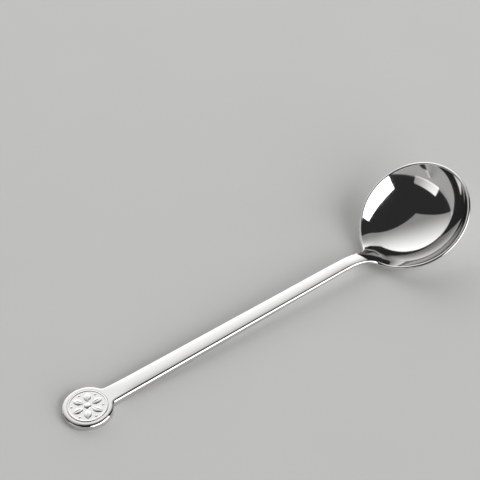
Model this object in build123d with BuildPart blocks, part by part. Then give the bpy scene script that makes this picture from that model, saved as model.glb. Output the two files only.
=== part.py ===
from build123d import *
import os
from math import acos, asin, atan2, cos, radians, sin, sqrt

# Round-bowled soup spoon: a drawn steel bowl with its neck, a straight handle with a disc at its end,
# and a medallion in the disc.
# It lies on the plane z = 0, on the belly of the bowl and on the level underside of the disc.
# +X runs along the handle towards the tip of the bowl, and the origin is under the middle of the spoon.

# Overall size
overall_length = 175.0

# Bowl
bowl_diameter = 44.9
bowl_depth = 11.9
bowl_tilt = 31.9
bowl_wall = 1.2
rim_rounding = 0.5

# Neck
neck_bend_radius = 26.0
neck_flare_radius = 5.0
neck_shank = 2.0
neck_sink = 0.4

# Handle
handle_slope = 2.4
handle_width_at_disc = 8.0
handle_width_at_neck = 5.8
handle_thickness_at_neck = 1.6
top_edge_rounding = 0.6
underside_edge_rounding = 0.5

# Disc at the end of the handle
disc_diameter = 18.2
disc_thickness = 2.75
disc_junction_radius = 2.0

# Joint between neck and handle
tenon_width = 3.0
tenon_height = 0.7
tenon_length = 5.0
tenon_clearance = 0.05

# Medallion
medallion_diameter = 14.4
medallion_thickness = 0.9
medallion_clearance = 0.05
border_width = 0.8
border_height = 0.25
petal_count = 6
petal_width = 2.6
petal_height = 0.35
boss_diameter = 2.6
boss_height = 0.45
relief_gap = 0.4
relief_rounding = 0.2

# Directions in the upright middle plane
tilt = radians(bowl_tilt)
slope = radians(handle_slope)
bowl_up = Vector(-sin(tilt), 0, cos(tilt))
bowl_forward = Vector(cos(tilt), 0, sin(tilt))
handle_forward = Vector(cos(slope), 0, sin(slope))
handle_up = Vector(-sin(slope), 0, cos(slope))
upright = cos(radians(45))

# Bowl: a dish of a sphere that touches the table, with its tip at the far end of the spoon
rim_radius = bowl_diameter / 2
outer_radius = (rim_radius**2 + bowl_depth**2) / (2 * bowl_depth)
inner_radius = outer_radius - bowl_wall
rim_drop = outer_radius - bowl_depth
rim_angle = asin(rim_radius / outer_radius)
rim_centre = Vector(overall_length / 2 - rim_radius * cos(tilt), 0, outer_radius - rim_drop * cos(tilt))
bowl_centre = rim_centre + bowl_up * rim_drop
bowl_axis = Axis(bowl_centre, bowl_up)

# Handle: a straight top line over the disc's centre
disc_radius = disc_diameter / 2
disc_centre = Vector(disc_radius - overall_length / 2, 0, disc_thickness)
disc_plane = Plane(disc_centre, x_dir=handle_forward, z_dir=handle_up)
medallion_radius = medallion_diameter / 2

# Neck: its top bends down from the handle on one arc, which runs on into the inside of the bowl
centre_along = (bowl_centre - disc_centre).dot(handle_forward)
centre_above = (bowl_centre - disc_centre).dot(handle_up)
centre_distance = inner_radius + neck_bend_radius
bend_along = centre_along - sqrt(centre_distance**2 - (centre_above + neck_bend_radius) ** 2)
bend_start = disc_centre + handle_forward * bend_along
bend_centre = bend_start - handle_up * neck_bend_radius

# Seam: the neck's shank ends square to the handle, just before the bend
seam_top = bend_start - handle_forward * neck_shank
seam_bottom = seam_top - handle_up * handle_thickness_at_neck
seam_middle = (seam_top + seam_bottom) * 0.5
seam_plane = Plane(seam_middle, x_dir=(0, 1, 0), z_dir=-handle_forward)


def add_arc(centre, radius, start, end):
    """Draws the arc between two angles on a circle in the bowl's section."""
    angles = (start, (start + end) / 2, end)
    points = [(centre.X + radius * cos(angle), centre.Y + radius * sin(angle)) for angle in angles]
    return ThreePointArc(*points)


def angle_of(direction):
    """The angle of a direction in the bowl's section."""
    return atan2(direction.Y, direction.X)


def is_side(face):
    """Whether a face is a side wall: upright, and not one of the flat ends across the spoon."""
    normal = face.normal_at()
    return abs(normal.Z) < upright and not (face.geom_type == GeomType.PLANE and abs(normal.X) > upright)


def long_edges(facing, end_x):
    """The edges between the side walls and the faces that face up (1) or down (-1), as far as end_x."""
    flats = faces().filter_by(lambda face: facing * face.normal_at().Z > upright)
    shared = flats.edges() & faces().filter_by(is_side).edges()
    return shared.filter_by(lambda edge: edge.center().X < end_x)


def round_long_edges(end_x):
    """Rounds the long edges of the piece being built, above and below."""
    fillet(long_edges(1, end_x), radius=top_edge_rounding)
    fillet(long_edges(-1, end_x), radius=underside_edge_rounding)


# Section of bowl and neck, outwards from the bowl's axis: the top follows the bend into the bowl,
# and the underside meets the bowl on a tangent line. It is drawn on the tip's side, and turned round.
section_plane = Plane(bowl_centre, x_dir=bowl_forward, z_dir=(0, -1, 0))
neck_side = Plane(bowl_centre, x_dir=-bowl_forward, z_dir=(0, 1, 0))
spare_start = bend_start - handle_forward * (2 * neck_shank)
spare_top = neck_side.to_local_coords(spare_start)
spare_under = neck_side.to_local_coords(spare_start - handle_up * handle_thickness_at_neck)
bowl_middle = neck_side.to_local_coords(bowl_centre)
bend_middle = neck_side.to_local_coords(bend_centre)
bend_top = neck_side.to_local_coords(bend_start)
under_radius = neck_bend_radius - handle_thickness_at_neck
tangent_turn = acos((under_radius + outer_radius) / centre_distance)
bowl_to_bend = angle_of(bend_middle - bowl_middle)
bend_to_bowl = bowl_to_bend + radians(180)
bend_to_handle = angle_of(bend_top - bend_middle)
pole = radians(-90)

# Neck outline, seen square to the sheet at the rim: a strip that flares on two arcs, which run into the rim
neck_point = rim_centre - bowl_forward * rim_radius
neck_out = (neck_point - bowl_centre).normalized()
neck_plane = Plane(neck_point, x_dir=neck_out.cross(Vector(0, 1, 0)), z_dir=-neck_out)
neck_half = handle_width_at_neck / 2
rim_curve_radius = rim_radius / cos(rim_angle)
root_curve_radius = rim_curve_radius - neck_sink
flare_reach = root_curve_radius + neck_flare_radius
flare_y = neck_half + neck_flare_radius
flare_x = rim_curve_radius - sqrt(flare_reach**2 - flare_y**2)
touch_y = flare_y * root_curve_radius / flare_reach
touch_x = rim_curve_radius - sqrt(root_curve_radius**2 - touch_y**2)
root_x = touch_x + bowl_wall
strip_end = neck_plane.to_local_coords(spare_start).X - handle_thickness_at_neck

with BuildPart() as neck:
    with BuildSketch(section_plane):
        with BuildLine():
            inside = add_arc(bowl_middle, inner_radius, pole, bowl_to_bend)
            bend = add_arc(bend_middle, neck_bend_radius, bend_to_bowl, bend_to_handle)
            under = add_arc(bend_middle, under_radius, bend_to_handle, bend_to_bowl - tangent_turn)
            outside = add_arc(bowl_middle, outer_radius, bowl_to_bend - tangent_turn, pole)
            Polyline(bend @ 1, spare_top, spare_under, under @ 0)
            Line(under @ 1, outside @ 0)
            Line(outside @ 1, inside @ 0)
        make_face()
    revolve(axis=bowl_axis)
    with BuildSketch(neck_plane):
        with BuildLine():
            right = RadiusArc((touch_x, -touch_y), (flare_x, -neck_half), -neck_flare_radius)
            left = RadiusArc((flare_x, neck_half), (touch_x, touch_y), -neck_flare_radius)
            Polyline(right @ 1, (strip_end, -neck_half), (strip_end, neck_half), left @ 0)
            Polyline(left @ 1, (root_x, touch_y), (root_x, -touch_y), right @ 0)
        make_face()
    extrude(amount=2 * bowl_depth, both=True, mode=Mode.INTERSECT)
    split(bisect_by=seam_plane, keep=Keep.BOTTOM)
    round_long_edges(neck_plane.from_local_coords((touch_x, 0)).X)
    with BuildSketch(seam_plane.offset(-neck_shank)):
        Rectangle(tenon_width, tenon_height)
    extrude(amount=neck_shank + tenon_length)

# Bowl: the dish with its rounded rim, and the neck
with BuildPart() as bowl:
    with BuildSketch(section_plane):
        with BuildLine():
            dish_inside = add_arc(bowl_middle, inner_radius, pole, pole + rim_angle)
            dish_outside = add_arc(bowl_middle, outer_radius, pole, pole + rim_angle)
            Line(dish_inside @ 0, dish_outside @ 0)
            lip = Line(dish_inside @ 1, dish_outside @ 1)
        make_face()
        fillet(vertices().sort_by_distance(lip @ 0.5)[:2], radius=rim_rounding)
    revolve(axis=bowl_axis)
    add(neck.part)
bowl.part.label = "bowl"

# Handle: the bar's side view cut to its plan view, with a seat for the medallion and a socket for the tenon
disc_end_top = disc_centre - handle_forward * (disc_radius / cos(slope))
disc_start = disc_centre.X + disc_radius
with BuildPart() as handle:
    with BuildSketch(Plane.XZ):
        with BuildLine():
            Polyline(
                (disc_end_top.X, disc_end_top.Z),
                (disc_end_top.X, 0),
                (disc_start, 0),
                (seam_bottom.X, seam_bottom.Z),
                (seam_top.X, seam_top.Z),
                close=True,
            )
        make_face()
    extrude(amount=disc_radius, both=True)
    with BuildSketch(Plane.XY):
        with BuildLine():
            disc_half = handle_width_at_disc / 2
            Polyline(
                (disc_centre.X, disc_half),
                (seam_bottom.X, neck_half),
                (seam_bottom.X, -neck_half),
                (disc_centre.X, -disc_half),
                close=True,
            )
        make_face()
        with Locations((disc_centre.X, 0)):
            Circle(disc_radius)
        notches = vertices().filter_by(lambda v: disc_centre.X < v.X < disc_start)
        fillet(notches, radius=disc_junction_radius)
    extrude(amount=seam_top.Z, mode=Mode.INTERSECT)
    round_long_edges(seam_middle.X)
    with BuildSketch(disc_plane):
        Circle(medallion_radius + medallion_clearance)
    extrude(amount=-medallion_thickness, mode=Mode.SUBTRACT)
    with BuildSketch(seam_plane):
        Rectangle(tenon_width + 2 * tenon_clearance, tenon_height + 2 * tenon_clearance)
    extrude(amount=tenon_length + tenon_clearance, mode=Mode.SUBTRACT)
handle.part.label = "handle"

# Petal: the top of a long barrel that lies under the medallion's face, so its outline is pointed at both ends
boss_radius = boss_diameter / 2
petal_start = boss_radius + relief_gap
petal_end = medallion_radius - border_width - relief_gap
petal_middle = (petal_start + petal_end) / 2
barrel_depth = ((petal_width / 2) ** 2 - petal_height**2) / (2 * petal_height)
with BuildPart() as petal:
    with BuildSketch(Plane.XZ):
        with BuildLine():
            ridge = ThreePointArc((petal_start, 0), (petal_middle, petal_height), (petal_end, 0))
            Polyline(ridge @ 1, (petal_end, -barrel_depth), (petal_start, -barrel_depth), ridge @ 0)
        make_face()
    revolve(axis=Axis((0, 0, -barrel_depth), (1, 0, 0)))
    split(bisect_by=Plane.XY, keep=Keep.TOP)

# Medallion: a thin disc with a raised border and a rosette of petals round a boss, made level and then seated
with BuildPart() as badge:
    with BuildSketch(Plane.XY.offset(-medallion_thickness)):
        Circle(medallion_radius)
    extrude(amount=medallion_thickness)
    with BuildSketch():
        Circle(medallion_radius)
        Circle(medallion_radius - border_width, mode=Mode.SUBTRACT)
    extrude(amount=border_height)
    with BuildSketch():
        Circle(boss_radius)
    extrude(amount=boss_height)
    raised = edges().filter_by(GeomType.CIRCLE).filter_by(lambda edge: edge.center().Z > border_height / 2)
    fillet(raised, radius=relief_rounding)
    with PolarLocations(0, petal_count):
        add(petal.part)
with BuildPart() as medallion:
    with Locations(disc_plane):
        add(badge.part)
medallion.part.label = "medallion"

os.makedirs("parts", exist_ok=True)
for piece in (bowl, handle, medallion):
    export_step(piece.part, f"parts/{piece.part.label}.step")
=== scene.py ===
import math

import bpy
import numpy as np
from mathutils import Matrix, Vector


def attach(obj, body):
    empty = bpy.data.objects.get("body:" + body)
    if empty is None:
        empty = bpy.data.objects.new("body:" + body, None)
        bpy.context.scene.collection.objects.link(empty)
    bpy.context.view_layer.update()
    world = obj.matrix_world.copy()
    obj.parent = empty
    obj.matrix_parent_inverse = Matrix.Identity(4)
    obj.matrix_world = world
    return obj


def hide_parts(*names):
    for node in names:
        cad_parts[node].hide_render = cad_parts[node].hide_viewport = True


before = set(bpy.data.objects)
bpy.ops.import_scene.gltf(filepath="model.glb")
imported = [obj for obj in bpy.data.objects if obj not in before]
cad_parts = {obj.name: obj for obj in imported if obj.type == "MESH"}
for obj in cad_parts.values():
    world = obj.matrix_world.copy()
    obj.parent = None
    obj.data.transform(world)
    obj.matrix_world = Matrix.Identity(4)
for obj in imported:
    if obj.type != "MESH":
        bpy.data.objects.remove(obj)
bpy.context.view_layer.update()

# Driving dimensions, in millimetres, as the solids have them
MM = 0.001
overall_length = 175.0
bowl_diameter = 44.9
bowl_depth = 11.9
bowl_tilt = math.radians(31.9)
bowl_wall = 1.2
neck_bend_radius = 26.0
neck_shank = 2.0
handle_slope = math.radians(2.4)
handle_width_at_disc = 8.0
handle_width_at_neck = 5.8
handle_thickness_at_neck = 1.6
top_edge_rounding = 0.6
underside_edge_rounding = 0.5
disc_diameter = 18.2
disc_thickness = 2.75
disc_junction_radius = 2.0
medallion_diameter = 14.4
medallion_thickness = 0.9
medallion_clearance = 0.05

# Forming that shows mainly in reflections, in millimetres
neck_flare = 2.6
neck_descent = math.radians(24.0)
neck_landing = math.radians(15.0)
landing_radius = 16.0
neck_side_blend = 4.5
flat_before_rim = 4.0
flat_run_in = 9.0
shoulder_opening = math.radians(43.5)
shoulder_reach = 0.8
shoulder_start = math.radians(18)
shoulder_end = math.radians(52)
handle_crown = 0.56
crown_edge_share = 0.5
crown_widest = 1.0
crown_widest_power = 6
crown_run_in = 12.0
crown_before_rim = 6.0
crown_neck_run_in = 12.0
disc_edge_rounding = 0.9
disc_edge_run = 1.25
neck_edge_run = 0.95
least_edge_wall = 0.04
junction_reach = 14.0
underside_ease = 3.0
seat_bevel = 0.05

# Relief of the medallion, in millimetres, and the power that rounds its domes
border_width = 0.8
border_height = 0.12
petal_count = 6
petal_width = 2.6
petal_height = 0.35
petal_vein = 0.12
vein_width = 0.16
boss_diameter = 2.6
boss_height = 0.45
pearl_diameter = 0.9
pearl_height = 0.22
relief_gap = 0.4
medallion_edge = 0.08
dome_power = 0.6

# Finish of the steel, with lengths in millimetres
steel_pale = (0.745, 0.742, 0.73, 1)
steel_deep = (0.705, 0.702, 0.69, 1)
mirror_roughness = 0.05
smudge_roughness = 0.10
smudge_size = 11.0
smudge_detail = 4.0
haze_range = (0.15, 0.45)
polish_line_width = 0.12
polish_line_length = 9.0
polish_line_depth = 0.00004
polish_line_detail = 3.0
waviness_length = 14.0
waviness_depth = 0.004
waviness_detail = 1.0
coined_pale = (0.80, 0.797, 0.785, 1)
# Painted shade: the darker tint given to the medallion's recessed field, below the raised work
coined_painted_shade = (0.76, 0.757, 0.745, 1)
relief_roughness = 0.09
relief_shown = 0.12
ground_roughness = 0.20
ground_grain = 0.16
ground_grain_depth = 0.010
ground_grain_detail = 2.0

# Studio, in metres: a leaning scrim behind, a leaning softbox in front and a low one past the disc
scrim_height = 4.0
scrim_turn = math.radians(-5.7)
scrim_top_reach = 0.17
scrim_foot_reach = 3.55
scrim_left = -2.67
scrim_right = 8.0
scrim_bright = 1.72
scrim_dim = 0.30
scrim_hot_spot = (1.63, 2.76, 0.76)
scrim_hot_reach = 4.46
front_top_distance = 3.0
front_foot_distance = 4.5
front_bearing = math.radians(-58)
front_left = -5.64
front_right = 1.59
front_top = 3.3
front_bright = 3.4
side_distance = 4.0
side_near = -2.0
side_far = 1.25
side_top = 1.08
side_bright = 1.3
side_dim = 0.45
side_hot_reach = 3.2
floor_half = 4.0
floor_pale = (0.71, 0.71, 0.70, 1)
floor_deep = (0.68, 0.68, 0.67, 1)
floor_mottle = 0.06
floor_mottle_detail = 3.0
floor_roughness = 0.6
studio_dark = (0.03, 0.03, 0.03, 1)
horizon_pale = (0.5, 0.5, 0.5, 1)
horizon_fade = (0.0, 0.06)

# Camera, in millimetres
camera_place = (-251.4, -330.8, 430.7)
camera_target = (15.14, 39.50, 0.0)
camera_lens = 121.64
camera_sensor = 36.0

# Mesh resolution
ROUNDING_STEPS = 6
SEAM_POINTS = 13
SIDE_POINTS = 36
RIM_POINTS = 200
DISH_RINGS = 80
DISC_POINTS = 120
BAR_STATIONS = 90
FILLET_POINTS = 10
FILLET_TRIES = 8
DISC_RINGS = 8
MEDALLION_SPOKES = 288
MEDALLION_RINGS = 96

# Steps for taking slopes, in millimetres, and the least swell of a petal at its points
RELIEF_STEP = 0.02
SLOPE_STEP = 0.005
LEAST_SWELL = 1e-6

# Sockets of the colour mix node, by their order
MIX_SHARE = 0
MIX_LOW = 6
MIX_HIGH = 7
MIX_RESULT = 2

# Directions in the upright middle plane
bowl_up = np.array([-math.sin(bowl_tilt), 0, math.cos(bowl_tilt)])
bowl_forward = np.array([math.cos(bowl_tilt), 0, math.sin(bowl_tilt)])
handle_forward = np.array([math.cos(handle_slope), 0, math.sin(handle_slope)])
handle_up = np.array([-math.sin(handle_slope), 0, math.cos(handle_slope)])
across = np.array([0.0, 1.0, 0.0])

# Bowl sphere, handle line and bend, from the same construction as the solids
rim_radius = bowl_diameter / 2
outer_radius = (rim_radius**2 + bowl_depth**2) / (2 * bowl_depth)
inner_radius = outer_radius - bowl_wall
rim_angle = math.asin(rim_radius / outer_radius)
rim_drop = outer_radius - bowl_depth
rim_centre = np.array([
    overall_length / 2 - rim_radius * math.cos(bowl_tilt),
    0,
    outer_radius - rim_drop * math.cos(bowl_tilt),
])
bowl_centre = rim_centre + bowl_up * rim_drop
disc_radius = disc_diameter / 2
disc_centre = np.array([disc_radius - overall_length / 2, 0, disc_thickness])
centre_along = (bowl_centre - disc_centre) @ handle_forward
centre_above = (bowl_centre - disc_centre) @ handle_up
centre_distance = inner_radius + neck_bend_radius
bend_along = centre_along - math.sqrt(centre_distance**2 - (centre_above + neck_bend_radius) ** 2)
bend_centre = disc_centre + handle_forward * bend_along - handle_up * neck_bend_radius
bend_from_bowl = bend_centre - bowl_centre
bend_bearing = math.atan2(bend_from_bowl @ bowl_up, -bend_from_bowl @ bowl_forward)
inner_turn = bend_bearing + math.pi / 2
handle_heading = bowl_tilt - handle_slope

# Seam, underside of the bar, and the medallion's seat and petals
seam_along = bend_along - neck_shank
seam_top = disc_centre + handle_forward * seam_along
seam_bottom = seam_top - handle_up * handle_thickness_at_neck
neck_half = handle_width_at_neck / 2
under_run = seam_bottom[0] - disc_centre[0] - disc_radius
under_slope = seam_bottom[2] / under_run
seat_radius = medallion_diameter / 2 + medallion_clearance
petal_start = boss_diameter / 2 + relief_gap
petal_end = medallion_diameter / 2 - border_width - relief_gap


def smoothstep(x):
    """From 0 to 1, level at both ends."""
    x = np.clip(x, 0, 1)
    return x * x * (3 - 2 * x)


def unit(v):
    """Vectors brought to a length of 1."""
    return v / np.linalg.norm(v, axis=-1, keepdims=True)


def surface_normals(here):
    """Normals of a surface that is given as a function of small steps along its two coordinates."""
    first = here(SLOPE_STEP, 0) - here(-SLOPE_STEP, 0)
    second = here(0, SLOPE_STEP) - here(0, -SLOPE_STEP)
    return unit(np.cross(first, second))


def face_area(corners):
    """Twice the area of a face, as a vector along its normal."""
    spokes = corners[1:] - corners[0]
    return np.cross(spokes[:-1], spokes[1:]).sum(axis=0)


class Skin:
    """A mesh made of rings of points, joined by faces that carry their own corner normals."""

    def __init__(self):
        self.points = []
        self.faces = []
        self.normals = []

    def ring(self, points):
        """Adds points, and returns their indices."""
        start = len(self.points)
        self.points.extend(np.asarray(points, float))
        return np.arange(start, start + len(points))

    def face(self, corners, normals):
        """One face, from the indices of its corners and their normals."""
        self.faces.append([int(corner) for corner in corners])
        self.normals.extend(normals)

    def join(self, low, high, low_normals, high_normals, columns=None):
        """Quads from one closed ring to the next, over all columns or the ones named."""
        count = len(low)
        for i in range(count) if columns is None else columns:
            k = (i + 1) % count
            self.face(
                (low[i], low[k], high[k], high[i]),
                (low_normals[i], low_normals[k], high_normals[k], high_normals[i]),
            )

    def sheet(self, rings):
        """Rings of points with their normals, each joined to the next. Returns each ring's indices."""
        indices = [self.ring(points) for points, _ in rings]
        for j in range(len(rings) - 1):
            self.join(indices[j], indices[j + 1], rings[j][1], rings[j + 1][1])
        return indices

    def fan(self, middle, ring, middle_normal, ring_normals):
        """Triangles from one middle point to a closed ring."""
        point = self.ring([middle])[0]
        for i in range(len(ring)):
            k = (i + 1) % len(ring)
            self.face((point, ring[i], ring[k]), (middle_normal, ring_normals[i], ring_normals[k]))

    def build(self, name):
        """The finished object, in metres, with every face turned to agree with its normals."""
        points = np.array(self.points)
        faces = []
        normals = []
        start = 0
        for face in self.faces:
            stated = self.normals[start : start + len(face)]
            start += len(face)
            if face_area(points[face]) @ np.sum(stated, axis=0) < 0:
                face = face[::-1]
                stated = stated[::-1]
            faces.append(face)
            normals.extend(stated)
        mesh = bpy.data.meshes.new(name)
        mesh.from_pydata(points * MM, [], faces)
        mesh.shade_smooth()
        mesh.normals_split_custom_set([tuple(n) for n in unit(np.array(normals))])
        piece = bpy.data.objects.new(name, mesh)
        bpy.context.scene.collection.objects.link(piece)
        return piece


def outward(points, normals, middle):
    """The direction out of a closed outline at each point, square to it and to the surface."""
    along = np.roll(points, -1, axis=0) - np.roll(points, 1, axis=0)
    out = unit(np.cross(along, normals))
    return out * np.sign(np.sum(out * (points - middle), axis=-1).sum())


def edge_border(points, normals, middle, run, rounding):
    """A face's border with its outward directions, and the run and depth of the rounding past it.
    At the two corners of the cut end the directions are square across the spoon."""
    out = outward(points, normals, middle)
    out[0] = -across
    out[SEAM_POINTS - 1] = across
    return points, normals, out, run, rounding


def rounded_edge(points, normals, out, run, rounding, straight, towards):
    """Rings that turn an edge over a rounding, from a face's border out over its run to the side wall.
    On the straight columns, which are cut ends, they go straight down towards the other face's border."""
    rings = []
    for step in range(1, ROUNDING_STEPS + 1):
        turn = math.pi / 2 * step / ROUNDING_STEPS
        ring = points + out * run * math.sin(turn) - normals * rounding * (1 - math.cos(turn))
        half_way = step / (ROUNDING_STEPS + 1) / 2
        down = points + (towards - points) * half_way
        ring = np.where(straight[:, None], down, ring)
        rings.append((ring, unit(normals * run * math.cos(turn) + out * rounding * math.sin(turn))))
    return rings


def wall_end(points, normals, out, run, rounding):
    """Where the rounding past a border ends on the side wall."""
    return points + out * run - normals * rounding


def wall_height(top, under):
    """Height of the upright wall that the roundings past two borders leave between them."""
    return np.sum((wall_end(*top) - wall_end(*under)) * top[1], axis=-1, keepdims=True)


def edge_band(skin, upper, lower, top, under, straight, cap_normal):
    """The rounded edge between the two faces of a sheet, and the cap on its cut end where it has one.
    Returns the indices of its rings, from the upper face to the lower."""
    rings = rounded_edge(*top, straight, under[0])
    rings += rounded_edge(*under, straight, top[0])[::-1]
    indices = [upper] + [skin.ring(points) for points, _ in rings] + [lower]
    normals = [top[1]] + [n for _, n in rings] + [under[1]]
    cut_columns = range(SEAM_POINTS - 1)
    side_columns = range(SEAM_POINTS - 1, len(upper))
    for j in range(len(indices) - 1):
        skin.join(indices[j], indices[j + 1], normals[j], normals[j + 1], side_columns)
        if cap_normal is not None:
            cap = np.tile(cap_normal, (len(upper), 1))
            skin.join(indices[j], indices[j + 1], cap, cap, cut_columns)
    return indices


def shoulder(phi):
    """How far the dish is opened out beside the neck, at an angle from the neck's middle line."""
    turned = np.abs(np.arctan2(np.sin(phi), np.cos(phi)))
    return 1 - smoothstep((turned - shoulder_start) / (shoulder_end - shoulder_start))


def aside_share(phi):
    """How far aside of the neck's middle line a point lies, as a share of its distance from the axis.
    On the tip's half it is 1."""
    return np.where(np.cos(phi) > 0, np.abs(np.sin(phi)), 1)


def crown_bend(aside):
    """The crown's fall from its middle line, at 0, to its edges, at -1 and 1. It levels out past them."""
    limit = (1 + np.abs(aside / crown_widest) ** crown_widest_power) ** (1 / crown_widest_power)
    share = (aside / limit) ** 2
    return share * (1 - crown_edge_share) + share**2 * crown_edge_share


def along_run(r, h, heading, curvature, length):
    """The place and the heading at a length along a run, from those at its start."""
    turned = heading + curvature * length
    if curvature:
        r = r + (np.sin(turned) - math.sin(heading)) / curvature
        h = h - (np.cos(turned) - math.cos(heading)) / curvature
    else:
        r = r + length * math.cos(heading)
        h = h + length * math.sin(heading)
    return r, h, turned


def section(start_height, runs):
    """A curve in the bowl's half-section, from its axis outwards, in runs of a length and a curvature.
    It gives the distance from the axis and the height above the bowl's centre, at distances along it."""
    starts = []
    reached = 0.0
    place = (0.0, start_height, 0.0)
    for length, curvature in runs:
        starts.append((reached, *place, curvature))
        place = along_run(*place, curvature, length)
        reached += length

    def at(s):
        s = np.asarray(s, float)
        r = np.zeros_like(s)
        h = np.zeros_like(s)
        for start, start_r, start_h, heading, curvature in starts:
            run_r, run_h, _ = along_run(start_r, start_h, heading, curvature, s - start)
            r = np.where(s >= start, run_r, r)
            h = np.where(s >= start, run_h, h)
        return r, h

    return at


class Sheet:
    """One face of the bowl's sheet: a dish turned about the bowl's axis, and a neck that runs out flat."""

    def __init__(self, sphere_radius, neck_runs, crown, facing):
        opening = sphere_radius * shoulder_opening
        self.section = section(-sphere_radius, neck_runs)
        self.dish = section(-sphere_radius, [(sphere_radius * math.pi / 2, 1 / sphere_radius)])
        self.opened = section(-sphere_radius, [(opening, 1 / sphere_radius), (opening, 0)])
        self.rim_at = sphere_radius * rim_angle
        self.seam_at = sum(length for length, _ in neck_runs)
        self.crown = crown
        self.facing = facing

    def place(self, s, phi):
        """The point at a distance from the pole along the section, at an angle from the neck's line."""
        neck_r, neck_h = self.section(s)
        dish_r, dish_h = self.dish(s)
        open_r, open_h = self.opened(s)
        beside = shoulder(phi)
        r = dish_r + (open_r - dish_r) * beside
        h = dish_h + (open_h - dish_h) * beside
        dished = smoothstep((r * aside_share(phi) - neck_half) / neck_side_blend)
        r = neck_r + (r - neck_r) * dished
        h = neck_h + (h - neck_h) * dished
        from_rim = s - self.rim_at
        flat = smoothstep((from_rim + flat_before_rim) / flat_run_in) * (1 - dished)
        crowned = smoothstep((from_rim + crown_before_rim) / crown_neck_run_in) * (1 - dished)
        y = r * np.sin(phi)
        out = r * ((1 - flat) * np.cos(phi) + flat)
        drop = self.crown * crowned * crown_bend(y / neck_half)
        return (
            bowl_centre
            - np.multiply.outer(out, bowl_forward)
            + np.multiply.outer(y, across)
            + np.multiply.outer(h, bowl_up)
            - np.multiply.outer(drop, handle_up)
        )

    def at(self, flat_points):
        """Points and normals at places on the sheet rolled out flat round its pole."""
        a, b = flat_points[..., 0], flat_points[..., 1]

        def here(da, db):
            return self.place(np.hypot(a + da, b + db), np.arctan2(b + db, a + da))

        return here(0, 0), -surface_normals(here) * self.facing


def soft_corner(distance):
    """Distance of the neck's soft corner from one of the two edges it joins, by that from the other."""
    return -neck_flare * np.log(1 - np.exp(-distance / neck_flare))


def bowl_outline(sheet, inset, seam_inset):
    """The edge of the bowl's sheet, rolled out flat, and how far it is moved in at each point.
    It starts on one side of the seam and runs across it, up the neck, round the rim and back.
    Beside the neck a soft corner joins the strip to the rim."""
    corner = neck_flare * math.log(2)
    near_rim = sheet.rim_at + shoulder_reach - inset
    side_past = np.geomspace(sheet.seam_at - near_rim, corner, SIDE_POINTS)
    side_s = near_rim + side_past
    side_r, _ = sheet.section(side_s)
    up_neck = smoothstep((side_past - corner) / (side_past[0] - corner))
    side_insets = inset + (seam_inset - inset) * up_neck
    side_phi = np.arcsin((neck_half - side_insets + soft_corner(side_past)) / side_r)
    rim_phi = np.linspace(side_phi[-1], 2 * math.pi - side_phi[-1], RIM_POINTS)[1:-1]
    beside = aside_share(rim_phi) * side_r[-1] - (neck_half - inset)
    rim_s = sheet.rim_at + shoulder_reach * shoulder(rim_phi) - inset + soft_corner(beside)
    rim_insets = np.full(len(rim_s), inset)
    seam_half = neck_half - seam_inset
    seam_phi = np.arcsin(np.linspace(-seam_half, seam_half, SEAM_POINTS)[:-1] / side_r[0])
    seam_s = np.full(len(seam_phi), sheet.seam_at)
    seam_insets = np.full(len(seam_phi), seam_inset)
    s = np.concatenate([seam_s, side_s, rim_s, side_s[:0:-1]])
    phi = np.concatenate([seam_phi, side_phi, rim_phi, -side_phi[:0:-1]])
    insets = np.concatenate([seam_insets, side_insets, rim_insets, side_insets[:0:-1]])
    return np.stack([s * np.cos(phi), s * np.sin(phi)], axis=-1), insets[:, None]


def inner_runs():
    """The inner face's middle line: the dish, a hollow where the neck lands, the neck's straight fall,
    the bend above it and the shank."""
    slopes = np.array([neck_landing, neck_descent])
    into, out_of = np.stack([np.sin(slopes), np.zeros_like(slopes), np.cos(slopes)], axis=-1)
    foot = bowl_centre - inner_radius * into
    leave = foot + landing_radius * (into - out_of)
    from_bend = leave - (disc_centre + handle_forward * bend_along)
    turned = neck_descent + handle_slope
    fall = -from_bend @ handle_up
    apex = from_bend @ handle_forward - fall / math.tan(turned)
    bend_radius = apex / math.tan(turned / 2)
    return [
        (inner_radius * (bowl_tilt + neck_landing), 1 / inner_radius),
        (landing_radius * (neck_descent - neck_landing), 1 / landing_radius),
        (fall / math.sin(turned) - apex, 0),
        (bend_radius * turned, -1 / bend_radius),
        (neck_shank, 0),
    ]


def outer_runs():
    """The underside's middle line: the dish, a straight rise, the bend above it and the shank."""
    bend_radius = neck_bend_radius - handle_thickness_at_neck
    tangent_turn = math.acos((bend_radius + outer_radius) / centre_distance)
    turn = inner_turn - tangent_turn
    return [
        (outer_radius * turn, 1 / outer_radius),
        (centre_distance * math.sin(tangent_turn), 0),
        (bend_radius * (turn - handle_heading), -1 / bend_radius),
        (neck_shank, 0),
    ]


def bowl_face(skin, sheet, rounding, seam_run):
    """One face of the bowl's sheet. Returns the indices of its last ring, and its border."""
    outline, run = bowl_outline(sheet, rounding, seam_run)
    shares = np.arange(1, DISH_RINGS + 1) / DISH_RINGS
    rings = [sheet.at(outline * share) for share in shares]
    indices = skin.sheet(rings)
    pole = sheet.place(np.zeros(1), np.zeros(1))[0]
    skin.fan(pole, indices[0], bowl_up * sheet.facing, rings[0][1])
    return indices[-1], edge_border(*rings[-1], rim_centre, run, rounding)


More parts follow.
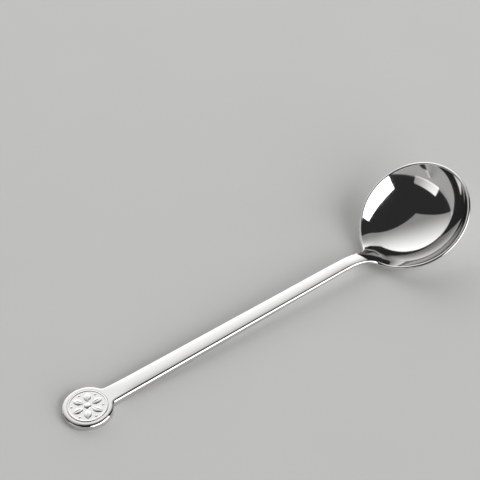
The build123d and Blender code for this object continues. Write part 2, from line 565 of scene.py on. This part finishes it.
def make_bowl():
    """Dish and neck in one sheet, with a rounded lip and a square end at the seam."""
    inside = Sheet(inner_radius, inner_runs(), handle_crown, 1)
    outside = Sheet(outer_radius, outer_runs(), 0, -1)
    skin = Skin()
    upper, top = bowl_face(skin, inside, top_edge_rounding, neck_edge_run)
    lower, under = bowl_face(skin, outside, underside_edge_rounding, underside_edge_rounding)
    shallower = np.maximum(least_edge_wall - wall_height(top, under), 0) / 2
    top, under = [(*border[:-1], border[-1] - shallower) for border in (top, under)]
    straight = np.zeros(len(upper), bool)
    straight[1 : SEAM_POINTS - 1] = True
    edge_band(skin, upper, lower, top, under, straight, -handle_forward)
    return skin.build("bowl_polished")


def handle_offset(along, aside):
    """The way along and across the handle."""
    return np.multiply.outer(along, handle_forward) + np.multiply.outer(aside, across)


def handle_half(along):
    """Half the handle's width at a distance from the disc's centre."""
    disc_half = handle_width_at_disc / 2
    return disc_half + (neck_half - disc_half) * along / seam_along


def handle_outline(inset, cut_at):
    """The edge of the disc and the first of the bar, moved in by an inset, in plan about the disc's centre.
    It starts on one side of the cut across the bar and runs across it, round the disc and back."""
    fillet_x = disc_radius
    for _ in range(FILLET_TRIES):
        fillet_y = handle_half(fillet_x) + disc_junction_radius
        fillet_x = math.sqrt((disc_radius + disc_junction_radius) ** 2 - fillet_y**2)
    bearing = math.atan2(fillet_y, fillet_x)
    turn = np.linspace(0, math.pi / 2 - bearing, FILLET_POINTS)
    arc_radius = disc_junction_radius + inset
    arc_x = fillet_x - arc_radius * np.sin(turn)
    arc_y = fillet_y - arc_radius * np.cos(turn)
    side_x = np.linspace(cut_at, fillet_x, FILLET_POINTS)[:-1]
    side_y = handle_half(side_x) - inset
    round_turn = np.linspace(bearing, 2 * math.pi - bearing, DISC_POINTS)[1:-1]
    round_radius = disc_radius - inset
    cut_y = np.linspace(-side_y[0], side_y[0], SEAM_POINTS)[:-1]
    x = np.concatenate([np.full(SEAM_POINTS - 1, cut_at), side_x, arc_x])
    y = np.concatenate([cut_y, side_y, arc_y])
    back = slice(None, SEAM_POINTS - 1, -1)
    x = np.concatenate([x, round_radius * np.cos(round_turn), x[back]])
    y = np.concatenate([y, round_radius * np.sin(round_turn), -y[back]])
    return np.stack([x, y], axis=-1)


def crown_drop(along, aside):
    """How far the top falls away from its middle line. It grows from the seat's edge to its full depth."""
    grown = smoothstep((along - seat_radius - seat_bevel) / crown_run_in)
    return handle_crown * grown * crown_bend(aside / handle_half(along))


def handle_top(plan):
    """Points and normals on the top of the disc and of the bar."""
    x, y = plan[..., 0], plan[..., 1]

    def here(dx, dy):
        drop = crown_drop(x + dx, y + dy)
        return disc_centre + handle_offset(x + dx, y + dy) - np.multiply.outer(drop, handle_up)

    return here(0, 0), surface_normals(here)


def handle_under(plan):
    """Points and normals on the underside: level under the disc, then easing into the slope of the bar."""
    past = plan[..., 0] - disc_radius
    eased = np.clip(past + underside_ease, 0, 2 * underside_ease)
    height = under_slope * (eased**2 / (4 * underside_ease) + np.maximum(past - underside_ease, 0))
    slope = under_slope * eased / (2 * underside_ease)
    points = np.stack([disc_centre[0] + plan[..., 0], plan[..., 1], height], axis=-1)
    return points, unit(np.stack([slope, np.zeros_like(slope), -np.ones_like(slope)], axis=-1))


def bar_thickness(along):
    """Thickness of the bar, square to its top, at a distance from the disc's centre."""
    rise = disc_thickness + along * math.sin(handle_slope)
    under = under_slope * (along * math.cos(handle_slope) - disc_radius)
    return (rise - under) / (math.cos(handle_slope) + under_slope * math.sin(handle_slope))


def disc_top(skin):
    """The top of the disc and of the first of the bar, with the medallion's seat in it.
    Returns the indices of its last ring, and its border."""
    outline = handle_outline(disc_edge_run, junction_reach)
    bearing = np.arctan2(outline[:, 1], outline[:, 0])
    spokes = np.stack([np.cos(bearing), np.sin(bearing)], axis=-1)
    inwards = -handle_offset(*spokes.T)
    seat_edge, up = handle_top(spokes * seat_radius)
    floor_ring = skin.ring(seat_edge - handle_up * medallion_thickness)
    wall_ring = skin.ring(seat_edge - handle_up * seat_bevel)
    skin.fan(disc_centre - handle_up * medallion_thickness, floor_ring, handle_up, up)
    skin.join(floor_ring, wall_ring, inwards, inwards)
    lip = spokes * (seat_radius + seat_bevel)
    rings = [handle_top(lip + (outline - lip) * share) for share in np.linspace(0, 1, DISC_RINGS)]
    indices = skin.sheet(rings)
    skin.join(wall_ring, indices[0], inwards, up)
    return indices[-1], edge_border(*rings[-1], disc_centre, disc_edge_run, disc_edge_rounding)


def disc_under(skin):
    """The underside of the disc and of the first of the bar.
    Returns the indices of its last ring, and its border."""
    cut_at = junction_reach * math.cos(handle_slope) + bar_thickness(junction_reach) * math.sin(handle_slope)
    outline = handle_outline(underside_edge_rounding, cut_at)
    shares = np.arange(1, DISC_RINGS + 1) / DISC_RINGS
    rings = [handle_under(outline * share) for share in shares]
    indices = skin.sheet(rings)
    middle, down = handle_under(np.zeros(2))
    skin.fan(middle, indices[0], down, rings[0][1])
    rounding = underside_edge_rounding
    return indices[-1], edge_border(*rings[-1], disc_centre, rounding, rounding)


def bar_loops():
    """Cross-sections of the bar from the disc's cut to the seam: points and normals, a row for each station.
    The top edges turn over a rounding that tightens from the disc to the neck."""
    along = np.linspace(junction_reach, seam_along, BAR_STATIONS)
    half = handle_half(along)[:, None]
    shares = np.linspace(-1, 1, SEAM_POINTS)
    top_run = np.linspace(disc_edge_run, neck_edge_run, BAR_STATIONS)[:, None]
    top_rounding = np.linspace(disc_edge_rounding, top_edge_rounding, BAR_STATIONS)[:, None]
    top_y = (half - top_run) * shares
    top_x = np.broadcast_to(along[:, None], top_y.shape)
    top, top_normals = handle_top(np.stack([top_x, top_y], axis=-1))
    under_rounding = np.full((BAR_STATIONS, 1), underside_edge_rounding)
    under_y = (half - under_rounding) * shares
    under_middle = disc_centre + np.multiply.outer(along, handle_forward)
    under_middle = under_middle - np.multiply.outer(bar_thickness(along), handle_up)
    under = under_middle[:, None] + under_y[..., None] * across
    under_normals = np.broadcast_to(-handle_up, under.shape)
    never = np.zeros(BAR_STATIONS, bool)
    sides = []
    for column, side in ((SEAM_POINTS - 1, across), (0, -across)):
        out = np.broadcast_to(side, under_middle.shape)
        upper = (top[:, column], top_normals[:, column], out, top_run, top_rounding)
        lower = (under[:, column], under_normals[:, column], out, under_rounding, under_rounding)
        rings = rounded_edge(*upper, never, lower[0])
        rings += rounded_edge(*lower, never, upper[0])[::-1]
        sides.append([np.stack(part, axis=1) for part in zip(*rings)])
    (left, left_normals), (right, right_normals) = sides
    points = [top, left, under[:, ::-1], right[:, ::-1]]
    normals = [top_normals, left_normals, under_normals[:, ::-1], right_normals[:, ::-1]]
    return np.concatenate(points, axis=1), np.concatenate(normals, axis=1)


def make_handle():
    """Straight bar with a disc at its end, the medallion's seat in the disc and a square end at the seam."""
    skin = Skin()
    upper, top = disc_top(skin)
    lower, under = disc_under(skin)
    never = np.zeros(len(upper), bool)
    band = edge_band(skin, upper, lower, top, under, never, None)
    left = [ring[SEAM_POINTS - 1] for ring in band[1:-1]]
    right = [ring[0] for ring in band[1:-1]]
    low = np.concatenate([upper[:SEAM_POINTS], left, lower[:SEAM_POINTS][::-1], right[::-1]])
    loops, normals = bar_loops()
    for station in range(1, BAR_STATIONS):
        high = skin.ring(loops[station])
        skin.join(low, high, normals[station - 1], normals[station])
        low = high
    skin.face(low, [handle_forward] * len(low))
    return skin.build("handle_polished")


def dome(distance, diameter, height):
    """Height of a round dome at a distance from its middle."""
    return height * np.clip(1 - (distance / (diameter / 2)) ** 2, 0, None) ** dome_power


def petal(x, y, turn):
    """Height of a pointed petal that lies along a spoke, with a vein down its middle."""
    outwards = x * math.cos(turn) + y * math.sin(turn)
    along = (outwards - (petal_start + petal_end) / 2) / ((petal_end - petal_start) / 2)
    aside = y * math.cos(turn) - x * math.sin(turn)
    swell = np.clip(1 - along**2, LEAST_SWELL, None)
    side = np.clip(1 - (aside / (petal_width / 2 * swell)) ** 2, 0, None)
    vein = petal_vein * np.exp(-((aside / vein_width) ** 2))
    height = swell * (petal_height * side**dome_power - vein * (side > 0))
    return np.where(np.abs(along) < 1, height, 0)


def relief(x, y):
    """Height of the medallion's face: a raised border, petals round a boss, and pearls between them."""
    r = np.hypot(x, y)
    border_middle = medallion_diameter / 2 - border_width / 2
    from_border = np.clip((r - border_middle) / (border_width / 2), -1, 1)
    height = border_height * (1 - from_border**2) ** 2
    height = np.maximum(height, dome(r, boss_diameter, boss_height))
    pearl_reach = petal_end - pearl_diameter / 2
    for k in range(petal_count):
        turn = 2 * math.pi * k / petal_count
        height = np.maximum(height, petal(x, y, turn))
        pearl_turn = turn + math.pi / petal_count
        pearl_x = pearl_reach * math.cos(pearl_turn)
        pearl_y = pearl_reach * math.sin(pearl_turn)
        from_pearl = np.hypot(x - pearl_x, y - pearl_y)
        height = np.maximum(height, dome(from_pearl, pearl_diameter, pearl_height))
    return height


def medallion_ring(spokes, radius):
    """Points and normals on the medallion's face, at a distance from its middle."""
    x, y = (spokes * radius).T
    lean_x = (relief(x + RELIEF_STEP, y) - relief(x - RELIEF_STEP, y)) / (2 * RELIEF_STEP)
    lean_y = (relief(x, y + RELIEF_STEP) - relief(x, y - RELIEF_STEP)) / (2 * RELIEF_STEP)
    points = disc_centre + handle_offset(x, y) + np.multiply.outer(relief(x, y), handle_up)
    return points, unit(handle_up - handle_offset(lean_x, lean_y))


def make_medallion():
    """Coined disc that lies in the handle's seat, with its relief in the mesh."""
    skin = Skin()
    turn = np.linspace(0, 2 * math.pi, MEDALLION_SPOKES, endpoint=False)
    spokes = np.stack([np.cos(turn), np.sin(turn)], axis=-1)
    out = handle_offset(*spokes.T)
    flat_radius = medallion_diameter / 2 - medallion_edge
    shares = np.arange(1, MEDALLION_RINGS + 1) / MEDALLION_RINGS
    rings = [medallion_ring(spokes, flat_radius * share) for share in shares]
    points, normals = rings[-1]
    never = np.zeros(MEDALLION_SPOKES, bool)
    rings += rounded_edge(points, normals, out, medallion_edge, medallion_edge, never, points)
    base = disc_centre - handle_up * medallion_thickness
    rings.append((base + out * medallion_diameter / 2, out))
    indices = skin.sheet(rings)
    skin.fan(disc_centre + handle_up * boss_height, indices[0], handle_up, rings[0][1])
    skin.fan(base, indices[-1], -handle_up, np.broadcast_to(-handle_up, out.shape))
    return skin.build("medallion_coined")


def triple(v):
    """A vector as three plain numbers."""
    return tuple(float(c) for c in v)


def add_node(tree, kind, links=(), **values):
    """A node with its inputs set by name, and linked from the sockets named."""
    node = tree.nodes.new(kind)
    for name, value in values.items():
        node.inputs[name.replace("_", " ")].default_value = value
    for name, socket in links:
        tree.links.new(socket, node.inputs[name])
    return node


def multiply(tree, first, second):
    """The product of two sockets."""
    node = tree.nodes.new("ShaderNodeMath")
    node.operation = "MULTIPLY"
    tree.links.new(first, node.inputs[0])
    tree.links.new(second, node.inputs[1])
    return node.outputs["Value"]


def with_vector(tree, operation, socket, vector):
    """A vector node that works on a socket and a constant vector."""
    node = tree.nodes.new("ShaderNodeVectorMath")
    node.operation = operation
    tree.links.new(socket, node.inputs[0])
    node.inputs[1].default_value = triple(vector)
    return node


def spread(tree, socket, low, high, to_low, to_high):
    """A value taken from one range to another, smoothly and no further than its ends."""
    ranges = {"From_Min": low, "From_Max": high, "To_Min": to_low, "To_Max": to_high}
    node = add_node(tree, "ShaderNodeMapRange", [("Value", socket)], **ranges)
    node.interpolation_type = "SMOOTHSTEP"
    return node.outputs["Result"]


def tint(tree, socket, low, high):
    """A colour between two others."""
    node = tree.nodes.new("ShaderNodeMix")
    node.data_type = "RGBA"
    node.inputs[MIX_LOW].default_value = low
    node.inputs[MIX_HIGH].default_value = high
    tree.links.new(socket, node.inputs[MIX_SHARE])
    return node.outputs[MIX_RESULT]


def noise(tree, vector, detail, size=1.0):
    """Soft noise with spots of a size."""
    node = add_node(tree, "ShaderNodeTexNoise", [("Vector", vector)], Scale=1 / size, Detail=detail)
    return node.outputs["Fac"]


def bump(tree, height, depth, below=None):
    """A small relief in the shading, on top of another one where there is one."""
    links = [("Height", height)]
    if below is not None:
        links.append(("Normal", below))
    node = add_node(tree, "ShaderNodeBump", links, Strength=1.0, Distance=depth * MM)
    return node.outputs["Normal"]


def new_material(name):
    """A material with its node tree, its shader and the places on its object."""
    material = bpy.data.materials.new(name)
    material.use_nodes = True
    tree = material.node_tree
    place = tree.nodes.new("ShaderNodeTexCoord").outputs["Object"]
    return material, tree, tree.nodes["Principled BSDF"], place


def polished_steel(name, line_vector):
    """Mirror steel with fine polishing lines, a slight wave and faint smudges."""
    material, tree, shader, place = new_material(name)
    lines = noise(tree, line_vector(tree, place), polish_line_detail)
    wave = noise(tree, place, waviness_detail, waviness_length * MM)
    smudges = noise(tree, place, smudge_detail, smudge_size * MM)
    haze = multiply(tree, lines, smudges)
    roughness = spread(tree, haze, *haze_range, mirror_roughness, smudge_roughness)
    waved = bump(tree, wave, waviness_depth)
    tree.links.new(tint(tree, smudges, steel_deep, steel_pale), shader.inputs["Base Color"])
    tree.links.new(roughness, shader.inputs["Roughness"])
    tree.links.new(bump(tree, lines, polish_line_depth, waved), shader.inputs["Normal"])
    shader.inputs["Metallic"].default_value = 1.0
    return material


def lines_along(tree, place):
    """Places for polishing lines that run along the handle."""
    wide = 1 / (polish_line_width * MM)
    long = 1 / (polish_line_length * MM)
    node = add_node(tree, "ShaderNodeMapping", [("Vector", place)], Scale=(long, wide, wide))
    return node.outputs["Vector"]


def lines_round(tree, place):
    """Places for polishing lines that run round the bowl's axis."""
    wide = 1 / (polish_line_width * MM)
    long = 1 / (polish_line_length * MM)
    moved = with_vector(tree, "SUBTRACT", place, bowl_centre * MM).outputs["Vector"]
    rise = with_vector(tree, "DOT_PRODUCT", moved, bowl_up * wide).outputs["Value"]
    lengths = add_node(tree, "ShaderNodeMapping", [("Vector", moved)], Scale=(long, long, long))
    widths = add_node(tree, "ShaderNodeCombineXYZ", [("Z", rise)])
    both = tree.nodes.new("ShaderNodeVectorMath")
    tree.links.new(lengths.outputs["Vector"], both.inputs[0])
    tree.links.new(widths.outputs["Vector"], both.inputs[1])
    return both.outputs["Vector"]


def coined_steel():
    """Struck steel: bright on the raised work, with a finely grained field between, which is also tinted
    darker as painted shade in the recesses.
    """
    material, tree, shader, place = new_material("coined_steel")
    height = with_vector(tree, "DOT_PRODUCT", place, handle_up).outputs["Value"]
    level = float(disc_centre @ handle_up) * MM
    # Mask of the recessed field: it sets the real grain and roughness there, and also the painted shade of
    # its darker tint
    recess_grain_and_shade = spread(tree, height, level, level + relief_shown * MM, 1.0, 0.0)
    grain = noise(tree, place, ground_grain_detail, ground_grain * MM)
    stipple = multiply(tree, grain, recess_grain_and_shade)
    roughness = spread(tree, recess_grain_and_shade, 0.0, 1.0, relief_roughness, ground_roughness)
    # Painted shade: the recessed field is tinted darker than the raised work
    tree.links.new(tint(tree, recess_grain_and_shade, coined_pale, coined_painted_shade), shader.inputs["Base Color"])
    tree.links.new(roughness, shader.inputs["Roughness"])
    tree.links.new(bump(tree, stipple, ground_grain_depth), shader.inputs["Normal"])
    shader.inputs["Metallic"].default_value = 1.0
    return material


def studio_paper():
    """Pale matt paper with a faint mottle."""
    material, tree, shader, place = new_material("studio_paper")
    mottle = noise(tree, place, floor_mottle_detail, floor_mottle)
    tree.links.new(tint(tree, mottle, floor_deep, floor_pale), shader.inputs["Base Color"])
    shader.inputs["Roughness"].default_value = floor_roughness
    return material


def make_floor():
    """A level square of studio paper."""
    corners = [(-1, -1), (1, -1), (1, 1), (-1, 1)]
    mesh = bpy.data.meshes.new("floor")
    mesh.from_pydata([(x * floor_half, y * floor_half, 0) for x, y in corners], [], [(0, 1, 2, 3)])
    mesh.materials.append(studio_paper())
    floor = bpy.data.objects.new("floor", mesh)
    bpy.context.scene.collection.objects.link(floor)
    return floor


def softbox(name, corner, sideways, upward, strength):
    """An evenly bright rectangular lamp from one corner, with sides given so that the spoon sees its front.
    Its power makes a strength of 1 show as white."""
    x_axis = sideways.normalized()
    y_axis = upward.normalized()
    z_axis = x_axis.cross(y_axis)
    lamp = bpy.data.lights.new(name, "AREA")
    lamp.shape = "RECTANGLE"
    lamp.size = sideways.length
    lamp.size_y = upward.length
    lamp.energy = math.pi * lamp.size * lamp.size_y
    lamp.use_nodes = True
    lamp.node_tree.nodes["Emission"].inputs["Strength"].default_value = strength
    box = bpy.data.objects.new(name, lamp)
    turn = Matrix((x_axis, y_axis, z_axis)).transposed().to_4x4()
    box.matrix_world = Matrix.Translation(corner + (sideways + upward) / 2) @ turn
    box.visible_camera = False
    bpy.context.scene.collection.objects.link(box)
    return lamp


def fade(lamp, hot_spot, hot_reach, bright, dim):
    """A hot spot on a lamp, that fades with the distance from it."""
    tree = lamp.node_tree
    place = tree.nodes.new("ShaderNodeNewGeometry").outputs["Position"]
    away = with_vector(tree, "DISTANCE", place, hot_spot).outputs["Value"]
    strength = spread(tree, away, 0.0, hot_reach, bright, dim)
    tree.links.new(strength, tree.nodes["Emission"].inputs["Strength"])


def light_scrim():
    """The wide scrim behind the spoon, which leans over it and is brightest low down behind the bowl."""
    along = Vector((math.cos(scrim_turn), math.sin(scrim_turn), 0))
    behind = Vector((-along.y, along.x, 0))
    foot = along * scrim_right + behind * scrim_foot_reach
    upward = behind * (scrim_top_reach - scrim_foot_reach) + Vector((0, 0, scrim_height))
    sideways = along * (scrim_left - scrim_right)
    lamp = softbox("scrim", foot, sideways, upward, scrim_bright)
    fade(lamp, scrim_hot_spot, scrim_hot_reach, scrim_bright, scrim_dim)


def light_front():
    """The softbox in front of the spoon, which leans towards it at the top and is evenly bright."""
    facing = Vector((math.cos(front_bearing), math.sin(front_bearing), 0))
    beside = Vector((-facing.y, facing.x, 0))
    foot = facing * front_foot_distance + beside * front_left
    upward = facing * (front_top_distance - front_foot_distance) + Vector((0, 0, front_top))
    sideways = beside * (front_right - front_left)
    softbox("front_softbox", foot, sideways, upward, front_bright)


def light_side():
    """The low softbox past the disc, which is brightest at its far top corner."""
    foot = Vector((-side_distance, side_far, 0))
    upward = Vector((0, 0, side_top))
    sideways = Vector((0, side_near - side_far, 0))
    lamp = softbox("side_softbox", foot, sideways, upward, side_bright)
    fade(lamp, foot + upward, side_hot_reach, side_bright, side_dim)


def make_camera():
    """The photograph's viewing angle."""
    place = Vector(camera_place) * MM
    target = Vector(camera_target) * MM
    data = bpy.data.cameras.new("camera")
    data.lens = camera_lens
    data.sensor_width = camera_sensor
    camera = bpy.data.objects.new("camera", data)
    camera.location = place
    camera.rotation_euler = (target - place).to_track_quat("-Z", "Y").to_euler()
    bpy.context.scene.collection.objects.link(camera)
    return camera


def make_world():
    """A dark room above a pale horizon."""
    world = bpy.data.worlds.new("studio")
    world.use_nodes = True
    tree = world.node_tree
    heading = tree.nodes.new("ShaderNodeTexCoord").outputs["Generated"]
    parts = add_node(tree, "ShaderNodeSeparateXYZ", [("Vector", heading)])
    above = spread(tree, parts.outputs["Z"], *horizon_fade, 0.0, 1.0)
    tree.links.new(tint(tree, above, horizon_pale, studio_dark), tree.nodes["Background"].inputs["Color"])
    return world


pieces = (
    (make_bowl(), "bowl", "polished_steel", polished_steel("polished_steel_bowl", lines_round)),
    (make_handle(), "handle", "polished_steel", polished_steel("polished_steel_handle", lines_along)),
    (make_medallion(), "medallion", "coined_steel", coined_steel()),
)
for piece, node, slot, finish in pieces:
    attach(piece, "root")
    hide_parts(node)
    piece.data.materials.append(finish)

make_floor()
light_scrim()
light_front()
light_side()
bpy.context.scene.camera = make_camera()
bpy.context.scene.world = make_world()
bpy.context.scene.view_settings.view_transform = "Standard"
